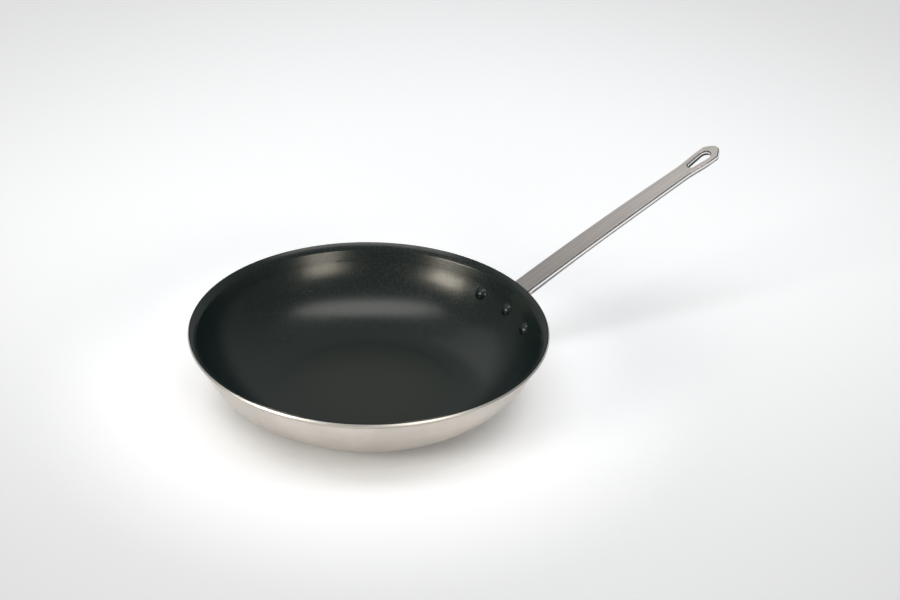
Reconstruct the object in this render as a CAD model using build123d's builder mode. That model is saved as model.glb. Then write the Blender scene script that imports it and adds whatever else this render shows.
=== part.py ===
from build123d import *
from math import asin, cos, degrees, radians, sin
import os

# An omelette pan: a pressed aluminium pan with a flared lip, a black film on its cooking side,
# and a cast steel handle whose curved flange is held to the wall by three rivets.
# Frame: origin at the middle of the underside, +Z up, handle along +X. Millimetres and degrees.

# The pan, measured on the outer face of its sheet
pan_radius = 140.0
pan_height = 57.5
sheet = 2.5
wall_slope = 68.0
wall_run = 7.8
crease_turn = 11.0
crease_radius = 1.0
lip_turn = 27.0
lip_radius = 13.0
rim_rounding = 0.5

# The film on the cooking side, which also covers the rivets' heads
film = 0.3

# The rivets: a row of three along the wall, at a share of its slope
rivet_spacing = 33.3
rivet_slope_share = 0.9
shank_radius = 2.75
shank_clearance = 0.05
head_radius = 5.4
head_height = 3.0
tail_radius = 4.4
tail_height = 2.2
seat_overlap = 0.5

# The handle's flange, outside the wall
flange_thickness = 2.6
flange_end_radius = 10.0
flange_middle_radius = 12.5
flange_middle_lift = 1.8
flange_rounding = 1.0

# The handle's bar
handle_reach = 189.0
handle_drop = 2.1
handle_slope = 25.1
handle_bow = 2.7
eye_lift = 1.8
lip_gap = 0.4
root_width = 19.1
root_depth = 7.5
root_thickness = 5.8
root_length = 20.0
flare_radius = 6.0
waist_width = 18.4
neck_width = 15.4
bar_thickness = 5.2
top_rounding = 0.7
under_rounding = 1.5

# The hanging eye and the blunt tip beyond it
eye_width = 19.0
eye_thickness = 4.7
eye_length = 22.6
eye_wide_radius = 5.2
eye_narrow_radius = 3.4
eye_end_wall = 8.2
eye_rounding = 1.0
nose_length = 6.7
tip_width = 5.6
tip_rounding = 3.5

# Places along the bar's reach: its neck, and where it has swelled to the eye's width
neck_share, widest_share = 0.812, 0.937

# Its waist, as a share of the way to the neck
waist_share = 0.4

# One overrun for all cuts
overrun = 2.0

# The angles at which the sheet's face changes: the wall, and the lip's start and end
wall_angle = radians(wall_slope)
lip_start = radians(wall_slope - crease_turn)
lip_end = radians(wall_slope - crease_turn - lip_turn)

# The rim's radius and height fix the corner's radius, and then the flat base's
crease_rise = crease_radius * (cos(lip_start) - cos(wall_angle))
crease_reach = crease_radius * (sin(wall_angle) - sin(lip_start))
lip_rise = lip_radius * (cos(lip_end) - cos(lip_start))
lip_reach = lip_radius * (sin(lip_start) - sin(lip_end))
corner_rise = pan_height - wall_run * sin(wall_angle) - crease_rise - lip_rise - sheet * cos(lip_end)
corner_radius = corner_rise / (1 - cos(wall_angle))
corner_reach = corner_radius * sin(wall_angle)
base_radius = pan_radius - corner_reach - wall_run * cos(wall_angle) - crease_reach - lip_reach


def sheet_line(depth, trim=0):
    """Draws the sheet's face from the axis to the rim, at a depth in from its outer face.

    The base, corner, wall, crease and lip follow one another tangentially, so faces at two
    depths are parallel. A trim leaves off that length at the rim.
    """
    base = Line((0, depth), (base_radius, depth))
    corner = JernArc(base @ 1, base % 1, corner_radius - depth, wall_slope)
    wall = Line(corner @ 1, corner @ 1 + (corner % 1) * wall_run)
    crease = JernArc(wall @ 1, wall % 1, crease_radius + depth, -crease_turn)
    radius = lip_radius + depth
    return JernArc(crease @ 1, crease % 1, radius, degrees(trim / radius) - lip_turn)


def layer_section(inner, outer, trim=0):
    """The layer between two depths, from the axis to the rim."""
    with BuildSketch(Plane.XZ) as section:
        with BuildLine():
            lower = sheet_line(inner, trim)
            upper = sheet_line(outer, trim)
            Line(lower @ 1, upper @ 1)
            Line((0, inner), (0, outer))
        make_face()
    return section.sketch


def inside_section(gap):
    """Everything inside the sheet's outer face, let out by a gap."""
    with BuildSketch(Plane.XZ) as section:
        with BuildLine():
            lip = sheet_line(-gap)
            top = pan_height + overrun
            Polyline(lip @ 1, ((lip @ 1).X, top), (0, top), (0, -gap))
        make_face()
    return section.sketch


# A rivet passes square through the corner's upper part
rivet_slope = wall_angle * rivet_slope_share
rivet_reach = base_radius + corner_radius * sin(rivet_slope)
rivet_height = corner_radius * (1 - cos(rivet_slope))
rivet_step = degrees(rivet_spacing / rivet_reach)
rivet_angles = {"rivet_left": rivet_step, "rivet_middle": 0.0, "rivet_right": -rivet_step}


def rivet_plane(angle):
    """The plane of a rivet's section: its origin on the outer face, its Y square into the pan."""
    out = Vector(cos(radians(angle)), sin(radians(angle)), 0)
    along = Vector(-out.Y, out.X, 0)
    inward = Vector(0, 0, cos(rivet_slope)) - out * sin(rivet_slope)
    origin = out * rivet_reach + Vector(0, 0, rivet_height)
    return Plane(origin=origin, x_dir=along, z_dir=along.cross(inward))


def rivet_axis(angle):
    """The line that a rivet is turned about."""
    place = rivet_plane(angle)
    return Axis(place.origin, place.y_dir)


def dome_section(angle, seat, radius, height, root):
    """Half of a domed head on a seat, with a root that goes past the seat."""
    ball = (radius**2 + height**2) / (2 * height)
    half = asin(radius / ball) / 2
    between = (ball * sin(half), seat + height - ball * (1 - cos(half)))
    with BuildSketch(rivet_plane(angle)) as section:
        with BuildLine():
            cap = ThreePointArc((0, seat + height), between, (radius, seat))
            Polyline(cap @ 1, (radius, seat - root), (0, seat - root), cap @ 0)
        make_face()
    return section.sketch


def disc_section(angle, radius):
    """A disc about a rivet's axis, from which its shank or its hole is made."""
    place = rivet_plane(angle)
    with BuildSketch(Plane(place.origin, x_dir=place.x_dir, z_dir=place.y_dir)) as section:
        Circle(radius)
    return section.sketch


# The pan: one thickness of sheet, rounded at the rim, then drilled for the rivets
with BuildPart() as sheet_blank:
    revolve(layer_section(0, sheet), axis=Axis.Z)
    rim_edges = sheet_blank.edges().filter_by(lambda edge: edge.is_closed).sort_by(Axis.Z)[-2:]
    fillet(rim_edges, rim_rounding)

with BuildPart() as pan_body:
    add(sheet_blank.part)
    for angle in rivet_angles.values():
        hole = disc_section(angle, shank_radius + shank_clearance)
        extrude(hole, amount=sheet + overrun, both=True, mode=Mode.SUBTRACT)

# The film: a skin on the sheet that rises over each rivet's head
with BuildPart() as nonstick_coating:
    revolve(layer_section(sheet, sheet + film, trim=rim_rounding), axis=Axis.Z)
    for angle in rivet_angles.values():
        over_head = dome_section(angle, sheet, head_radius + film, head_height + film, film)
        revolve(over_head, axis=rivet_axis(angle))
    for angle in rivet_angles.values():
        head = dome_section(angle, sheet, head_radius, head_height, film)
        revolve(head, axis=rivet_axis(angle), mode=Mode.SUBTRACT)
    add(sheet_blank.part, mode=Mode.SUBTRACT)

# The flange: a plate curved both ways like the wall, and seen along the handle the hull of
# three discs, one about each rivet
flange_height = rivet_height - flange_thickness * cos(rivet_slope) / 2
flange_side = (rivet_reach + flange_thickness * sin(rivet_slope)) * sin(radians(rivet_step))

with BuildPart() as flange:
    with BuildSketch(Plane.XZ):
        with BuildLine():
            low = (base_radius, -flange_thickness)
            outside = JernArc(low, (1, 0), corner_radius + flange_thickness, 90)
            Polyline(outside @ 1, (0, corner_radius), (0, -flange_thickness), low)
        make_face()
    revolve(axis=Axis.Z)
    with BuildSketch(Plane.YZ):
        with Locations((-flange_side, flange_height), (flange_side, flange_height)):
            Circle(flange_end_radius)
        with Locations((0, flange_height + flange_middle_lift)):
            Circle(flange_middle_radius)
        make_hull()
    extrude(amount=pan_radius, mode=Mode.INTERSECT)
    outer_face = flange.faces().sort_by(Axis.X)[-1]
    fillet(outer_face.edges(), flange_rounding)
    revolve(inside_section(0), axis=Axis.Z, mode=Mode.SUBTRACT)

# The bar's top is a shallow arc from under the lip to the neck, where it starts to lift again
root_angle, neck_angle = radians(handle_slope), radians(handle_slope - handle_bow)
tip_angle = radians(handle_slope - handle_bow + eye_lift)
neck_reach = handle_reach * neck_share
bow_radius = neck_reach / (sin(root_angle) - sin(neck_angle))
lift_radius = (handle_reach - neck_reach) / (sin(tip_angle) - sin(neck_angle))
root_point = Vector(pan_radius, pan_height - handle_drop)
root_direction = Vector(cos(root_angle), sin(root_angle))
tail_point = root_point - root_direction * ((pan_radius - rivet_reach) / cos(root_angle))
root_share = root_length / neck_reach


def edge_point(reach, width):
    """A point of the bar's edge seen from above."""
    return Vector(pan_radius + reach, width / 2)


with BuildPart() as bar:
    # Seen from the side, the bar is thickest at its root and thinnest round the eye
    with BuildSketch(Plane.XZ):
        with BuildLine():
            bow = JernArc(root_point, root_direction, bow_radius, -handle_bow)
            lift = JernArc(bow @ 1, bow % 1, lift_radius, eye_lift)

            def under(top, share, thickness):
                """A point square below the bar's top line."""
                along = top % share
                return top @ share + Vector(along.Y, -along.X) * thickness

            waist, waist_turn = under(bow, waist_share, bar_thickness), handle_bow * (1 - waist_share)
            belly = JernArc(waist, bow % waist_share, bow_radius - bar_thickness, -waist_turn)
            chin = TangentArc(belly @ 1, under(lift, 1, eye_thickness), tangent=belly % 1)
            heel = TangentArc(
                waist, under(bow, root_share, root_thickness), tangent=bow % waist_share * -1
            )
            gusset = TangentArc(heel @ 1, tail_point - Vector(0, root_depth), tangent=heel % 1)
            Line(lift @ 1, chin @ 1)
            Polyline(gusset @ 1, tail_point, root_point)
        make_face()
    extrude(amount=eye_width + flare_radius, both=True)

    # Seen from above, it flares into the flange, narrows in a shallow bow and swells round the eye
    with BuildSketch(Plane.XY):
        with BuildLine():
            side = Spline(
                edge_point(0, root_width),
                edge_point(neck_reach * waist_share, waist_width),
                edge_point(neck_reach, neck_width),
            )
            widest = edge_point(handle_reach * widest_share, eye_width)
            swell = Spline(side @ 1, widest, tangents=[side % 1, (1, 0)])
            past_tip = Line(widest, edge_point(handle_reach + eye_thickness, eye_width))
            flare = JernArc(side @ 0, side % 0 * -1, flare_radius, -90)
            foot = Line(flare @ 1, (rivet_reach, (flare @ 1).Y))
            for line in (side, swell, past_tip, flare, foot):
                mirror(line, about=Plane.XZ)
            Line(past_tip @ 1, ((past_tip @ 1).X, -(past_tip @ 1).Y))
            Line(foot @ 1, (rivet_reach, -(foot @ 1).Y))
        make_face()
    extrude(amount=pan_radius + handle_reach, both=True, mode=Mode.INTERSECT)

    # The blunt nose is cut square to the bar
    tip_point, tip_direction = lift @ 1, lift % 1
    eye_plane = Plane(
        origin=(tip_point.X, 0, tip_point.Y),
        x_dir=(tip_direction.X, 0, tip_direction.Y),
        z_dir=(-tip_direction.Y, 0, tip_direction.X),
    )
    eye_axis = Axis(eye_plane.origin, eye_plane.z_dir)
    with BuildSketch(eye_plane):
        Rectangle(nose_length * 2, eye_width * 2)
        with BuildLine():
            shoulder, corner = (-nose_length, eye_width / 2), (0, tip_width / 2)
            nose = Polyline((-nose_length, 0), shoulder, corner, (0, 0))
            mirror(nose, about=Plane.XZ)
        make_face(mode=Mode.SUBTRACT)
    extrude(amount=eye_thickness + overrun, both=True, mode=Mode.SUBTRACT)
    fillet(bar.edges().filter_by(eye_axis), tip_rounding)

    # The top keeps crisp edges, and the underside has softer ones
    faces = bar.faces().filter_by(GeomType.PLANE, reverse=True)
    upper = faces.filter_by(lambda face: face.normal_at().Z > sin(root_angle)).sort_by(SortBy.AREA)[-1]
    fillet(upper.edges().sort_by(Axis.X)[1:-1], top_rounding)
    faces = bar.faces().filter_by(GeomType.PLANE, reverse=True)
    lower = faces.filter_by(lambda face: face.normal_at().Z < -sin(root_angle)).sort_by(SortBy.AREA)[-1]
    fillet(lower.edges().sort_by(Axis.X)[1:-1], under_rounding)

    # The eye is the hull of a wide disc by the tip and a narrow one
    with BuildSketch(eye_plane):
        with Locations((-eye_end_wall - eye_wide_radius, 0)):
            Circle(eye_wide_radius)
        with Locations((-eye_end_wall - eye_length + eye_narrow_radius, 0)):
            Circle(eye_narrow_radius)
        make_hull()
    extrude(amount=eye_thickness + overrun, both=True, mode=Mode.SUBTRACT)
    fillet(bar.edges(Select.LAST).filter_by(eye_axis, reverse=True), eye_rounding)

    # The root is cut back to pass under the lip
    revolve(inside_section(lip_gap), axis=Axis.Z, mode=Mode.SUBTRACT)

with BuildPart() as handle:
    add(flange.part)
    add(bar.part)
    for angle in rivet_angles.values():
        hole = disc_section(angle, shank_radius + shank_clearance)
        extrude(hole, amount=flange_thickness + overrun, both=True, mode=Mode.SUBTRACT)


def rivet_part(angle):
    """A rivet with a domed head inside the pan, a shank, and a tail formed against the flange."""
    with BuildPart() as rivet:
        head = dome_section(angle, sheet, head_radius, head_height, seat_overlap)
        tail = dome_section(angle, -flange_thickness, tail_radius, -tail_height, -seat_overlap)
        revolve(head + tail, axis=rivet_axis(angle))
        add(sheet_blank.part, mode=Mode.SUBTRACT)
        add(flange.part, mode=Mode.SUBTRACT)
        shank = disc_section(angle, shank_radius)
        extrude(shank, amount=sheet + head_height / 2)
        extrude(shank, amount=-flange_thickness - tail_height / 2)
    return rivet.part


pieces = {
    "pan_body": pan_body.part,
    "nonstick_coating": nonstick_coating.part,
    "handle": handle.part,
    **{name: rivet_part(angle) for name, angle in rivet_angles.items()},
}

os.makedirs("parts", exist_ok=True)
for name, piece in pieces.items():
    piece.label = name
    export_step(piece, f"parts/{name}.step")
    print(name, "solids", len(piece.solids()), "volume", round(piece.volume))
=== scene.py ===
# %% [markdown]
# An omelette pan: a pressed aluminium pan with a black non-stick film on its cooking side, and a
# steel handle riveted to its wall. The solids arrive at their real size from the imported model, so
# this lesson is about looks: where the camera stands, how a studio lights metal and a black film,
# and how a few nodes make each finish. Lengths are in metres and angles in degrees.

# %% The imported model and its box
from math import asin, atan2, cos, pi, radians, sin

import bpy
import numpy as np
from mathutils import Matrix, Vector


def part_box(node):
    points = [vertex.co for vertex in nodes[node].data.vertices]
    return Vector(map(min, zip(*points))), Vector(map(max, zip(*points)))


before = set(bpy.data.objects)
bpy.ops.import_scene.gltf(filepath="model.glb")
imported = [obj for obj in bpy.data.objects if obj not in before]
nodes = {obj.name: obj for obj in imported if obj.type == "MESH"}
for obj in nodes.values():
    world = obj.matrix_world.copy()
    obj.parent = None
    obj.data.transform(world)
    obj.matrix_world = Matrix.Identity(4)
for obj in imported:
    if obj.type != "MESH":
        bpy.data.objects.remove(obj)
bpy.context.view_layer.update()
millimetre = 0.001
rivet_names = ("rivet_left", "rivet_middle", "rivet_right")
print("nodes", sorted(nodes))

# %% [markdown]
# A photograph of a round rim tells where the camera stood: the rim's ellipse gives the height
# angle, and the way near things grow gives the distance. This camera was found by fitting the
# rim, the underside and the rivets. The picture was cropped off centre, so the camera is swung
# until the rim's centre falls on its pixel, instead of being moved.

# %% Camera
photo_width, photo_height = 900, 600
rim_centre_pixel = (369.5, 326.6)
rim_centre = np.array([0, 0, 57.5]) * millimetre
camera_side = -119.3
camera_rise = 30.4
camera_distance = 1.5556
camera_roll = -0.45
pixels_per_radian = 2006.9
sensor_width = 36.0  # in millimetres, as a lens is


def direction(side, rise):
    """A unit vector at an angle round the pan from +X, and an angle above the floor."""
    side, rise = radians(side), radians(rise)
    return np.array([cos(rise) * cos(side), cos(rise) * sin(side), sin(rise)])


def turn(axis, angle):
    """The 3 by 3 rotation about x, y or z, by an angle in radians."""
    return np.array(Matrix.Rotation(angle, 3, axis))


def camera_axes():
    """The camera's right, up and back as rows.

    It starts by looking straight at the rim's centre. The centre's pixel, taken from the middle
    of the picture and divided by the focal length, is the slope at which the centre should lie,
    so the camera tips about its right axis and swings about its up axis by those angles, and
    then rolls.
    """
    back = direction(camera_side, camera_rise)
    right = np.cross([0, 0, 1], back)
    right /= np.linalg.norm(right)
    axes = np.array([right, np.cross(back, right), back])
    across = (rim_centre_pixel[0] - photo_width / 2) / pixels_per_radian
    up = (photo_height / 2 - rim_centre_pixel[1]) / pixels_per_radian
    swing = atan2(across, 1)
    tip = asin(up / np.linalg.norm([across, up, 1]))
    return turn("Z", radians(camera_roll)) @ turn("Y", -swing) @ turn("X", tip) @ axes


def add_camera():
    """Adds the camera at its place and makes it the scene's."""
    data = bpy.data.cameras.new("camera")
    data.sensor_width = sensor_width
    data.lens = sensor_width * pixels_per_radian / photo_width
    camera = bpy.data.objects.new("camera", data)
    bpy.context.scene.collection.objects.link(camera)
    place = Matrix(camera_axes()).transposed().to_4x4()
    place.translation = Vector(rim_centre + direction(camera_side, camera_rise) * camera_distance)
    camera.matrix_world = place
    bpy.context.scene.camera = camera
    return camera


camera = add_camera()
print("camera at", tuple(round(value, 3) for value in camera.matrix_world.translation))

# %% [markdown]
# Nodes are easier to read when each one is a single call. The first helper below adds a node, sets
# its options, fills or links its inputs, and returns the output that is used most. The others name
# the few steps that every finish here is made of. A mask is a number that is 1 where something
# shows and 0 where it doesn't, so masks are combined by multiplying them.

# %% Node helpers
def add_node(tree, kind, inputs=None, output=0, **options):
    """Adds a node and returns one of its outputs. An input may be a value or another output."""
    node = tree.nodes.new("ShaderNode" + kind)
    for name, value in options.items():
        setattr(node, name, value)
    for socket, value in (inputs or {}).items():
        if isinstance(value, bpy.types.NodeSocket):
            tree.links.new(value, node.inputs[socket])
        else:
            node.inputs[socket].default_value = value
    return node.outputs[output]


def maths(tree, operation, *values):
    """One step of arithmetic on numbers. MULTIPLY_ADD is first times second plus third."""
    return add_node(tree, "Math", dict(enumerate(values)), operation=operation)


def product(tree, *factors):
    """Multiplies numbers, or masks, together."""
    total = factors[0]
    for factor in factors[1:]:
        total = maths(tree, "MULTIPLY", total, factor)
    return total


def measure(tree, operation, *vectors):
    """The number that a LENGTH, a DISTANCE or a DOT_PRODUCT makes of vectors."""
    return add_node(tree, "VectorMath", dict(enumerate(vectors)), 1, operation=operation)


def coordinates(tree, vector):
    """A vector's x, y and z."""
    return tuple(add_node(tree, "SeparateXYZ", {0: vector}).node.outputs)


def smooth_range(tree, value, start, end, low=0.0, high=1.0):
    """Eases from low to high as a value goes from start to end, and stays level outside them."""
    inputs = {"Value": value, "From Min": start, "From Max": end, "To Min": low, "To Max": high}
    return add_node(tree, "MapRange", inputs, interpolation_type="SMOOTHSTEP")


def mix_colour(tree, share, first, second, blend="MIX"):
    """Mixes two colours, given as outputs or as red, green and blue."""
    inputs = {0: share}
    for socket, colour in ((6, first), (7, second)):
        inputs[socket] = colour if isinstance(colour, bpy.types.NodeSocket) else (*colour, 1.0)
    return add_node(tree, "Mix", inputs, 2, data_type="RGBA", blend_type=blend, clamp_factor=True)


def scale_colour(tree, colour, shade):
    """Makes a colour lighter or darker by multiplying it by a number."""
    grey = add_node(tree, "CombineColor", {0: shade, 1: shade, 2: shade})
    return mix_colour(tree, 1.0, colour, grey, blend="MULTIPLY")


def noise(tree, vector, scale, detail=2.0, roughness=0.5):
    """Soft noise from 0 to 1, with a scale in blobs per metre."""
    inputs = {"Vector": vector, "Scale": scale, "Detail": detail, "Roughness": roughness}
    return add_node(tree, "TexNoise", inputs)


def bump(tree, height, depth):
    """Turns a height into a bent normal. The depth is how high a full step of it stands."""
    return add_node(tree, "Bump", {"Height": height, "Distance": depth})


# %% [markdown]
# A material starts as a main shader and the point's place on its object. Everything else is worked
# out from that place, so no picture and no unwrapping is needed.

# %% Material helpers
def new_material(name):
    """A material with an empty tree, its main shader, and the point's place on the object."""
    material = bpy.data.materials.new(name)
    material.use_nodes = True
    tree = material.node_tree
    tree.nodes.clear()
    shader = tree.nodes.new("ShaderNodeBsdfPrincipled")
    output = tree.nodes.new("ShaderNodeOutputMaterial")
    tree.links.new(shader.outputs[0], output.inputs["Surface"])
    place = add_node(tree, "TexCoord", output="Object")
    return material, tree, shader, place


def finish_shader(tree, shader, **inputs):
    """Fills or links the main shader's inputs, named with underscores for spaces."""
    for name, value in inputs.items():
        socket = shader.inputs[name.replace("_", " ")]
        if isinstance(value, bpy.types.NodeSocket):
            tree.links.new(value, socket)
        else:
            socket.default_value = value


def dress(node, material):
    """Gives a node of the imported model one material."""
    node.data.materials.clear()
    node.data.materials.append(material)
    print(node.name, "wears", material.name)


# %% [markdown]
# The cooking side is a sprayed film with a fine warm speckle from the flakes in it. Each flake is
# a cell of a Voronoi pattern whose random number is high. The film is smooth on the rivets' heads,
# so that each shows round sparks, and the heads are found from the rivets' boxes. Where the
# rounded corner meets the straight wall there is a faint dark ring from the press, with gaps.

# %% Masks on the film
head_inward, head_above = 2.6 * millimetre, 2.2 * millimetre
head_reach = (6.8 * millimetre, 6.3 * millimetre)
flakes_per_metre, flake_pick = 2600.0, (0.88, 0.97)
ring_height = 44.8 * millimetre
ring_reach = (0.45 * millimetre, 0.0)
gaps_per_metre, gap_pick = 22.0, (0.42, 0.58)


def head_centre(name):
    """The middle of a rivet's head, inward of and above the middle of the rivet's box."""
    low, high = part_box(name)
    middle = (low + high) / 2
    inward = Vector((-middle.x, -middle.y, 0)).normalized()
    return middle + inward * head_inward + Vector((0, 0, head_above))


def head_mask(tree, place):
    """1 on the rivets' heads and 0 elsewhere."""
    first, *others = (measure(tree, "DISTANCE", place, centre) for centre in head_centres)
    nearest = first
    for away in others:
        nearest = maths(tree, "MINIMUM", nearest, away)
    return smooth_range(tree, nearest, *head_reach)


def flake_mask(tree, place):
    """1 on the few cells that are flakes and 0 elsewhere."""
    inputs = {"Vector": place, "Scale": flakes_per_metre}
    cells = add_node(tree, "TexVoronoi", inputs, output="Color")
    number = add_node(tree, "SeparateColor", {0: cells})
    return smooth_range(tree, number, *flake_pick)


def ring_mask(tree, place):
    """1 on the ring from the press, 0 off it and in its gaps."""
    height = coordinates(tree, place)[2]
    off_ring = maths(tree, "ABSOLUTE", maths(tree, "SUBTRACT", height, ring_height))
    line = smooth_range(tree, off_ring, *ring_reach)
    return product(tree, line, smooth_range(tree, noise(tree, place, gaps_per_metre), *gap_pick))


head_centres = [head_centre(name) for name in rivet_names]
print("rivets' heads at", [tuple(round(value, 4) for value in centre) for centre in head_centres])

# %% [markdown]
# The film itself is nearly black, a little browner in the middle, with a soft sheen. A film that
# is sprayed is grainy, so a fine bump breaks up each highlight.

# %% Film on the cooking side
film_black = (0.0030, 0.0110, 0.0112)
film_brown = (0.0100, 0.0150, 0.0098)
brown_radius = (85.0 * millimetre, 20.0 * millimetre)
flake_colour, flake_height = (0.024, 0.024, 0.018), 0.5
ring_colour, ring_strength, ring_groove = (0.001, 0.001, 0.001), 0.5, 1.5
grains_per_metre, grain_detail, grain_depth = 1000.0, 3.0, 0.04 * millimetre
film_roughness, head_roughness = 0.25, 0.3
film_refraction = 1.55
film_sheen = (1.0, 0.97, 0.90, 1.0)


def film_material():
    """The black film with its ring, and with flakes and grain except on the rivets' heads."""
    material, tree, shader, place = new_material("nonstick_film")
    heads = head_mask(tree, place)
    plain = maths(tree, "SUBTRACT", 1.0, heads)
    flakes = product(tree, flake_mask(tree, place), plain)
    ring = ring_mask(tree, place)

    brown = smooth_range(tree, measure(tree, "LENGTH", place), *brown_radius)
    colour = mix_colour(tree, brown, film_black, film_brown)
    colour = mix_colour(tree, flakes, colour, flake_colour)
    colour = mix_colour(tree, product(tree, ring, ring_strength), colour, ring_colour)

    grain = noise(tree, place, grains_per_metre, grain_detail)
    grain = maths(tree, "MULTIPLY_ADD", flakes, flake_height, grain)
    groove = product(tree, ring, ring_groove)
    level = maths(tree, "SUBTRACT", product(tree, grain, plain), groove)
    rough = smooth_range(tree, heads, 0.0, 1.0, film_roughness, head_roughness)
    finish_shader(
        tree, shader, Base_Color=colour, Roughness=rough, IOR=film_refraction,
        Specular_Tint=film_sheen, Normal=bump(tree, level, grain_depth),
    )
    return material


dress(nodes["nonstick_coating"], film_material())

# %% [markdown]
# The outside is bare aluminium, turned on a lathe and brushed to a satin, so its fine lines run
# round the pan. A pattern that depends only on the distance from the axis and on the height gives
# such lines with no seam. Metal that is scratched one way spreads light across the scratches, and
# the shader's anisotropy does that when it is told which way the scratches run. The rim's edge is
# polished, and where it looks upward some of the black spray has settled on it.

# %% Aluminium
satin_colour = (0.615, 0.575, 0.53)
polished_colour = (0.66, 0.65, 0.63)
lines_per_metre, line_detail, line_roughness = 2600.0, 3.0, 0.7
line_depth = 0.006 * millimetre
line_spread = 0.35
satin_roughness, line_extra, edge_extra = 0.34, 0.12, 0.02

clouds_per_metre, cloud_detail = 28.0, 3.0
cloud_shade = (0.3, 0.7, 0.92, 1.06)

rim_edge_radius = (137.0 * millimetre, 137.8 * millimetre)
rim_edge_height = (55.4 * millimetre, 56.0 * millimetre)
overspray_colour = (0.035, 0.04, 0.04)
overspray_radius = (133.0 * millimetre, 134.0 * millimetre)
overspray_slope = (0.45, 0.65)


def around(tree, place):
    """The distance from the pan's axis, the height, and the direction round the axis."""
    x, y, height = coordinates(tree, place)
    radius = measure(tree, "LENGTH", add_node(tree, "CombineXYZ", {0: x, 1: y}))
    along = add_node(tree, "CombineXYZ", {0: product(tree, y, -1.0), 1: x})
    return radius, height, add_node(tree, "VectorMath", {0: along}, operation="NORMALIZE")


def overspray_mask(tree, radius):
    """1 where the rim looks upward beyond the film's edge."""
    facing = add_node(tree, "TexCoord", output="Normal")
    brim = smooth_range(tree, radius, *overspray_radius)
    return product(tree, brim, smooth_range(tree, coordinates(tree, facing)[2], *overspray_slope))


def pan_material():
    """Satin aluminium with lines round the axis, a polished rim and the overspray on it."""
    material, tree, shader, place = new_material("pan_aluminium")
    radius, height, along = around(tree, place)
    out = smooth_range(tree, radius, *rim_edge_radius)
    edge = product(tree, out, smooth_range(tree, height, *rim_edge_height))

    clouds = noise(tree, place, clouds_per_metre, cloud_detail)
    satin = scale_colour(tree, satin_colour, smooth_range(tree, clouds, *cloud_shade))
    colour = mix_colour(tree, edge, satin, polished_colour)
    colour = mix_colour(tree, overspray_mask(tree, radius), colour, overspray_colour)

    profile = add_node(tree, "CombineXYZ", {0: radius, 1: height})
    lines = noise(tree, profile, lines_per_metre, line_detail, line_roughness)
    rough = maths(tree, "MULTIPLY_ADD", lines, line_extra, satin_roughness)
    rough = maths(tree, "MULTIPLY_ADD", edge, edge_extra, rough)
    level = product(tree, lines, maths(tree, "SUBTRACT", 1.0, edge))
    finish_shader(
        tree, shader, Base_Color=colour, Metallic=1.0, Roughness=rough,
        Anisotropic=line_spread, Tangent=along, Normal=bump(tree, level, line_depth),
    )
    return material


dress(nodes["pan_body"], pan_material())

# %% [markdown]
# The handle is one piece of steel. Noise that is squeezed across the handle and stretched along it
# brushes its flat faces lengthwise. Its narrow sides are polished, and each depth under the top
# face mirrors another part of the room: first a dark line, then a bright one, then the grey of the
# floor. The dark line and the grey strip are painted reflections in the colour. To paint these
# strips, the material needs to know how deep a point is, and so it follows the top face, which is
# slightly bowed.

# %% Places on the handle
handle_slope = 23.5
handle_middle = 0.25
top_curve = (0.3834, -0.11414, -0.00133, -0.0037)
lengthwise = direction(0.0, handle_slope)
upward = direction(180.0, 90.0 - handle_slope)


def handle_place(tree, place):
    """How far along the handle a point is, how deep under its top face, and how far off centre.

    Seen from the side, the top face's height over a straight line is a cubic in the distance from
    the middle, a x^3 + b x^2 + c x + d, worked out as ((a x + b) x + c) x + d.
    """
    along = measure(tree, "DOT_PRODUCT", place, lengthwise)
    over = measure(tree, "DOT_PRODUCT", place, upward)
    x = maths(tree, "SUBTRACT", along, handle_middle)
    top = top_curve[0]
    for factor in top_curve[1:]:
        top = maths(tree, "MULTIPLY_ADD", top, x, factor)
    return along, maths(tree, "SUBTRACT", top, over), coordinates(tree, place)[1]


print("the handle rises", handle_slope, "degrees along", tuple(lengthwise.round(3)))

# %% [markdown]
# The masks tell the handle's faces apart. Which way a face looks parts the flat faces from the
# sides, and the depth parts the strips of a side. The flange is satin all over. The wall inside
# the eye and the end of the nose look at nothing bright, so painted shade makes them nearly black
# lower down.

# %% Faces of the handle
flat_slope = (0.90, 0.98)
flange_end = (0.1560, 0.1500)
# Where the painted dark line and the painted grey strip, both painted reflections, lie on a side.
painted_dark_line_depth = (1.5 * millimetre, 0.8 * millimetre)
painted_dark_line_strength = (0.15, 0.34, 0.97, 0.85)
brushed_depth = (1.3 * millimetre, 0.6 * millimetre)
painted_grey_strip_depth = (2.7 * millimetre, 3.2 * millimetre)
eye_start = (0.3235, 0.3245)
eye_half_width = (5.5 * millimetre, 5.2 * millimetre)
eye_depth = (2.0 * millimetre, 2.6 * millimetre)
nose_start = (0.3450, 0.3480)


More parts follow.
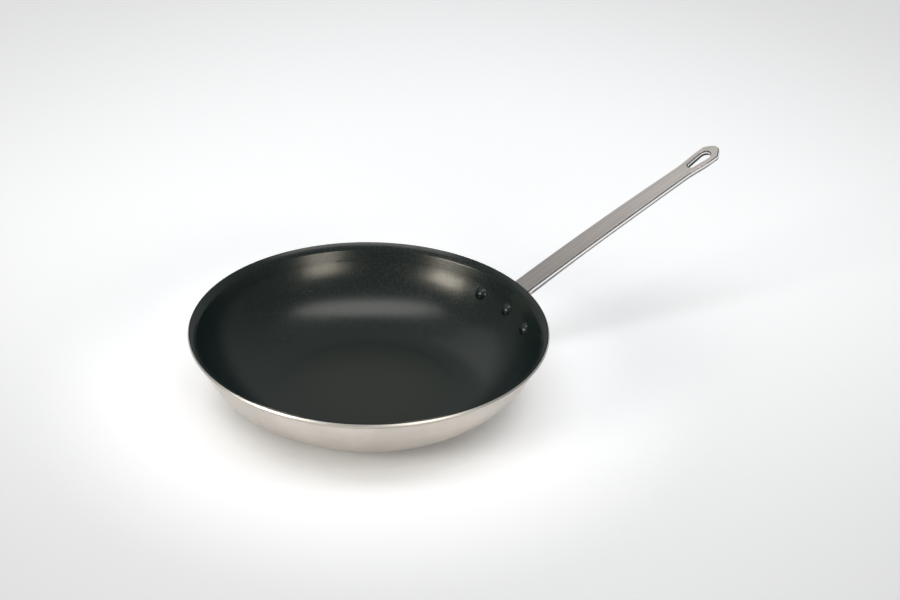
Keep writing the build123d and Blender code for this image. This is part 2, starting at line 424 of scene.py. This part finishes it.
def handle_masks(tree, along, depth, across):
    """Six masks: flat, satin and brushed faces, and the painted dark line, the painted grey strip
    and the painted shade of a side.
    """
    facing = add_node(tree, "TexCoord", output="Normal")
    slope = maths(tree, "ABSOLUTE", measure(tree, "DOT_PRODUCT", facing, upward))
    flat = smooth_range(tree, slope, *flat_slope)
    side = maths(tree, "SUBTRACT", 1.0, flat)
    flange = smooth_range(tree, along, *flange_end)
    satin = maths(tree, "MAXIMUM", flat, flange)
    brushed = maths(tree, "MAXIMUM", satin, smooth_range(tree, depth, *brushed_depth))

    # Painted reflection: a dark line painted along the top edge of each side.
    dark = product(tree, side, smooth_range(tree, depth, *painted_dark_line_depth))
    dark = product(tree, dark, smooth_range(tree, along, *painted_dark_line_strength))
    # Painted reflection: a grey strip of floor painted on the lower part of each side, past the
    # flange.
    grey = product(tree, side, smooth_range(tree, depth, *painted_grey_strip_depth))
    grey = product(tree, grey, maths(tree, "SUBTRACT", 1.0, flange))

    # Painted shade on the deep wall inside the eye and on the nose.
    inside = smooth_range(tree, maths(tree, "ABSOLUTE", across), *eye_half_width)
    inside = product(tree, inside, smooth_range(tree, along, *eye_start))
    eye = product(tree, side, smooth_range(tree, depth, *eye_depth), inside)
    nose = product(tree, grey, smooth_range(tree, along, *nose_start))
    return flat, satin, brushed, dark, grey, maths(tree, "MAXIMUM", eye, nose)


print("the handle's eye starts at", eye_start[1], "and its nose at", nose_start[0])

# %% [markdown]
# The brushing is two noises laid over each other, a fine and a broad one. It lightens and darkens
# the steel, roughens it and bends its normals. The steel is also painted lighter from the pan to
# the eye, a painted reflection of more and more of the lamps.

# %% Steel handle
steel_colour = (0.66, 0.61, 0.58)
polished_steel = (0.92, 0.915, 0.90)
# Colours of the painted dark line and the painted grey strip on the sides.
painted_dark_line_colour = (0.035, 0.035, 0.035)
painted_grey_strip_colour = (0.22, 0.21, 0.215)
# Colour of the painted shade in the eye and on the nose.
painted_shade_colour = (0.045, 0.06, 0.055)
stretch = 0.012
scratches_per_metre, scratch_detail, scratch_roughness = 1500.0, 5.0, 0.8
streaks_per_metre, streak_detail = 300.0, 2.0
scratch_share, streak_share = 0.6, 0.4
streak_shade = (0.3, 0.7, 0.80, 1.12)
# Painted sheen: the steel's colour grows lighter from the pan towards the eye.
painted_lengthwise_sheen = (0.13, 0.34, 0.72, 1.42)
polished_roughness, satin_extra, scratch_extra = 0.1, 0.24, 0.1
scratch_depth = 0.008 * millimetre
scratch_spread = 0.6


def handle_material():
    """Brushed and polished steel, with the painted strips that the sides mirror, painted shade in
    the eye and on the nose, and a painted sheen towards the eye.
    """
    material, tree, shader, place = new_material("handle_steel")
    along, depth, across = handle_place(tree, place)
    flat, satin, brushed, dark, grey, shaded = handle_masks(tree, along, depth, across)

    strand = add_node(tree, "CombineXYZ", {0: product(tree, along, stretch), 1: across, 2: depth})
    scratches = noise(tree, strand, scratches_per_metre, scratch_detail, scratch_roughness)
    streaks = product(tree, noise(tree, strand, streaks_per_metre, streak_detail), streak_share)
    streaks = maths(tree, "MULTIPLY_ADD", scratches, scratch_share, streaks)
    shade = smooth_range(tree, streaks, *streak_shade)
    # Painted reflection of the lamps: the steel is painted lighter from the pan to the eye.
    shade = product(tree, shade, smooth_range(tree, along, *painted_lengthwise_sheen))

    steel = scale_colour(tree, steel_colour, shade)
    colour = mix_colour(tree, brushed, polished_steel, steel)
    # Painted reflections: the dark line and the grey strip are mixed into the colour.
    colour = mix_colour(tree, dark, colour, painted_dark_line_colour)
    colour = mix_colour(tree, grey, colour, painted_grey_strip_colour)
    # Painted shade on the eye's wall and on the nose.
    colour = mix_colour(tree, shaded, colour, painted_shade_colour)

    rough = maths(tree, "MULTIPLY_ADD", satin, satin_extra, polished_roughness)
    rough = maths(tree, "MULTIPLY_ADD", scratches, product(tree, flat, scratch_extra), rough)
    tangent = add_node(tree, "CombineXYZ", dict(enumerate(lengthwise)))
    level = product(tree, scratches, flat)
    finish_shader(
        tree, shader, Base_Color=colour, Metallic=1.0, Roughness=rough,
        Anisotropic=scratch_spread, Tangent=tangent, Normal=bump(tree, level, scratch_depth),
    )
    return material


dress(nodes["handle"], handle_material())

# %% [markdown]
# The rivets are soft aluminium. Their heads are under the film, and their tails, which show on the
# flange outside, keep a bright and slightly hammered face from the riveting tool.

# %% Rivets
rivet_colour = (0.82, 0.81, 0.79, 1.0)
dents_per_metre, dent_depth = 500.0, 0.05 * millimetre
rivet_roughness, dent_extra = 0.2, 0.2


def rivet_material():
    """Bright aluminium with shallow dents."""
    material, tree, shader, place = new_material("rivet_aluminium")
    dents = noise(tree, place, dents_per_metre)
    rough = maths(tree, "MULTIPLY_ADD", dents, dent_extra, rivet_roughness)
    finish_shader(
        tree, shader, Base_Color=rivet_colour, Metallic=1.0, Roughness=rough,
        Normal=bump(tree, dents, dent_depth),
    )
    return material


rivets = rivet_material()
for name in rivet_names:
    dress(nodes[name], rivets)

# %% [markdown]
# A studio table is a plain pale floor. Here it is a large disc of rings, close together round the
# pan and wider apart far off.

# %% Floor's shape
floor_radius = 9.0
floor_rings, floor_steps = 24, 96
floor_drop = 0.05 * millimetre


def disc_grid(radius, rings, steps):
    """The points and faces of a flat disc.

    Point j of ring i lies at the distance R (i / n)^2 from the middle and at the angle
    2 pi j / m, for i from 1 to n and j from 0 to m - 1. One more point lies in the middle.
    """
    distance = radius * (np.arange(1, rings + 1) / rings) ** 2
    angle = 2 * pi * np.arange(steps) / steps
    x, y = distance[:, None] * np.cos(angle), distance[:, None] * np.sin(angle)
    points = np.stack([x, y, np.full_like(x, -floor_drop)], axis=-1).reshape(-1, 3)
    points = np.vstack([points, [[0, 0, -floor_drop]]])

    ring, step = np.meshgrid(np.arange(rings - 1), np.arange(steps), indexing="ij")
    inner, outer, after = ring * steps, (ring + 1) * steps, (step + 1) % steps
    quads = np.stack([inner + step, outer + step, outer + after, inner + after], axis=-1)
    first = np.arange(steps)
    middle = np.full(steps, rings * steps)
    triangles = np.stack([middle, first, (first + 1) % steps], axis=-1)
    return points, quads.reshape(-1, 4).tolist() + triangles.tolist()


floor_points, floor_faces = disc_grid(floor_radius, floor_rings, floor_steps)
print("floor of", len(floor_faces), "faces")

# %% [markdown]
# The floor's paint is lightest a little behind the pan, to the right, and falls off to a light
# grey: a pool of light painted into its colour. A part of its brightness comes from the paint
# itself, for the camera and for mirror rays only, so that the white stays white and casts no light
# of its own. This painted glow grows towards the back, is stronger in a painted halo round the
# pan, and stops under it, which paints a shadow there that keeps the pan's soft shadow dark.

# %% Floor's paint
# A pool of light painted on the floor, from its lightest colour to the grey it falls to.
painted_pool_colour, painted_pool_edge_colour = (0.875, 0.89, 0.915), (0.615, 0.62, 0.635)
light_right, light_behind = 0.09, 0.2
light_width, light_length = 0.40, 0.52
painted_pool_fall = (0.5, 1.9)
paint_roughness, paint_shine = 0.9, 0.0
glow_colour = (1.0, 1.0, 1.0, 1.0)
# Painted light: the glow grows towards the back and in a halo round the pan, and its stop under the
# pan paints a shadow.
painted_back_glow = (-0.3, 0.35, 0.06, 0.28)
painted_halo_glow = (0.15, 0.28, 0.17, 0.0)
painted_shadow_radius = (0.095, 0.135)


def mirror_or_camera(tree):
    """1 for rays from the camera, a mirror or a glass, and 0 for soft light."""
    rays = add_node(tree, "LightPath").node.outputs
    seen = maths(tree, "MAXIMUM", rays["Is Camera Ray"], rays["Is Glossy Ray"])
    return maths(tree, "MAXIMUM", seen, rays["Is Transmission Ray"])


def floor_material():
    """Pale paint with a painted pool of light that falls off with the length of
    (right / width, behind / length), and a painted glow that stops in a painted shadow round the
    pan.
    """
    material, tree, shader, place = new_material("pale_floor")
    right = measure(tree, "DOT_PRODUCT", place, direction(camera_side + 90.0, 0.0))
    behind = measure(tree, "DOT_PRODUCT", place, direction(camera_side + 180.0, 0.0))
    across = maths(tree, "DIVIDE", maths(tree, "SUBTRACT", right, light_right), light_width)
    up = maths(tree, "DIVIDE", maths(tree, "SUBTRACT", behind, light_behind), light_length)
    spread = measure(tree, "LENGTH", add_node(tree, "CombineXYZ", {0: across, 1: up}))
    # Painted pool of light.
    colour = mix_colour(tree, smooth_range(tree, spread, *painted_pool_fall), painted_pool_colour, painted_pool_edge_colour)

    away = measure(tree, "LENGTH", place)
    # Painted light, with a painted halo round the pan and a painted shadow under it.
    glow = smooth_range(tree, behind, *painted_back_glow)
    glow = maths(tree, "ADD", glow, smooth_range(tree, away, *painted_halo_glow))
    glow = product(tree, glow, smooth_range(tree, away, *painted_shadow_radius), mirror_or_camera(tree))
    finish_shader(
        tree, shader, Base_Color=colour, Roughness=paint_roughness,
        Specular_IOR_Level=paint_shine, Emission_Color=glow_colour, Emission_Strength=glow,
    )
    return material


def add_floor():
    """Adds the floor as a part of the stage, not of the pan."""
    mesh = bpy.data.meshes.new("floor")
    mesh.from_pydata(floor_points.tolist(), [], floor_faces)
    mesh.materials.append(floor_material())
    floor = bpy.data.objects.new("floor", mesh)
    bpy.context.scene.collection.objects.link(floor)
    return floor


floor = add_floor()
print("stage holds", floor.name)

# %% [markdown]
# The highlights in the photograph say where the lamps were. Two warm patches on the back wall,
# two bright stretches of the rim and the sparks on each rivet all point the same way: one soft
# box well to the left of the camera, one to its right, both a little above the horizon. The pale
# ring in the corner of the pan points straight up, to a large cooler light overhead. A dim lamp
# behind the pan, at the left, lights the edges that turn away from the others.

# %% Lamps
lamp_distance = 3.0
warm_light = (1.0, 0.945, 0.85)
cool_light = (0.97, 0.97, 1.0)


def soft_box(name, side, rise, width, height, radiance, colour, shape="RECTANGLE"):
    """A sheet of light that faces the pan. Its side is an angle round from the camera.

    Its power is its radiance times its area times pi. An ellipse fills pi / 4 of its box.
    """
    lamp = bpy.data.lights.new(name, "AREA")
    lamp.shape = shape
    lamp.size, lamp.size_y = width, height
    filled = pi / 4 if shape == "ELLIPSE" else 1.0
    lamp.energy = radiance * width * height * filled * pi
    lamp.color = colour
    light = bpy.data.objects.new(name, lamp)
    bpy.context.scene.collection.objects.link(light)
    towards = Vector(direction(camera_side + side, rise))
    light.location = Vector(rim_centre) + towards * lamp_distance
    light.rotation_euler = towards.to_track_quat("Z", "Y").to_euler()
    print(name, "gives", round(lamp.energy, 1), "W")


# Each lamp has its side and rise, then its width and height, then its radiance and colour.
soft_box("left_soft_box", -57.0, 22.5, 1.15, 0.95, 11.6, warm_light)
soft_box("right_soft_box", 33.0, 21.0, 1.15, 0.92, 7.5, warm_light)
soft_box("overhead_light", 4.0, 85.5, 3.9, 1.25, 2.9, cool_light, shape="ELLIPSE")
soft_box("back_light", -140.0, 40.0, 2.0, 1.4, 0.38, cool_light)

# %% [markdown]
# The room fills in what the lamps leave. It is a little lighter behind the pan than behind the
# camera: the pan's flat floor mirrors that side, and so it looks paler than the walls round it.

# %% World
camera_room, far_room = (0.24, 0.245, 0.245), (0.36, 0.37, 0.36)
far_room_rise = 30.0
far_room_reach = (0.2, 1.0)


def light_world():
    """A dim room whose grey eases from one side to the other."""
    world = bpy.data.worlds.new("studio")
    bpy.context.scene.world = world
    world.use_nodes = True
    tree = world.node_tree
    looking = add_node(tree, "TexCoord", output="Generated")
    far_side = direction(camera_side + 180.0, far_room_rise)
    level = smooth_range(tree, measure(tree, "DOT_PRODUCT", looking, far_side), *far_room_reach)
    colour = mix_colour(tree, level, camera_room, far_room)
    tree.links.new(colour, tree.nodes["Background"].inputs["Color"])
    return world


world = light_world()
print("world", world.name)
bpy.context.scene.view_settings.view_transform = "Standard"
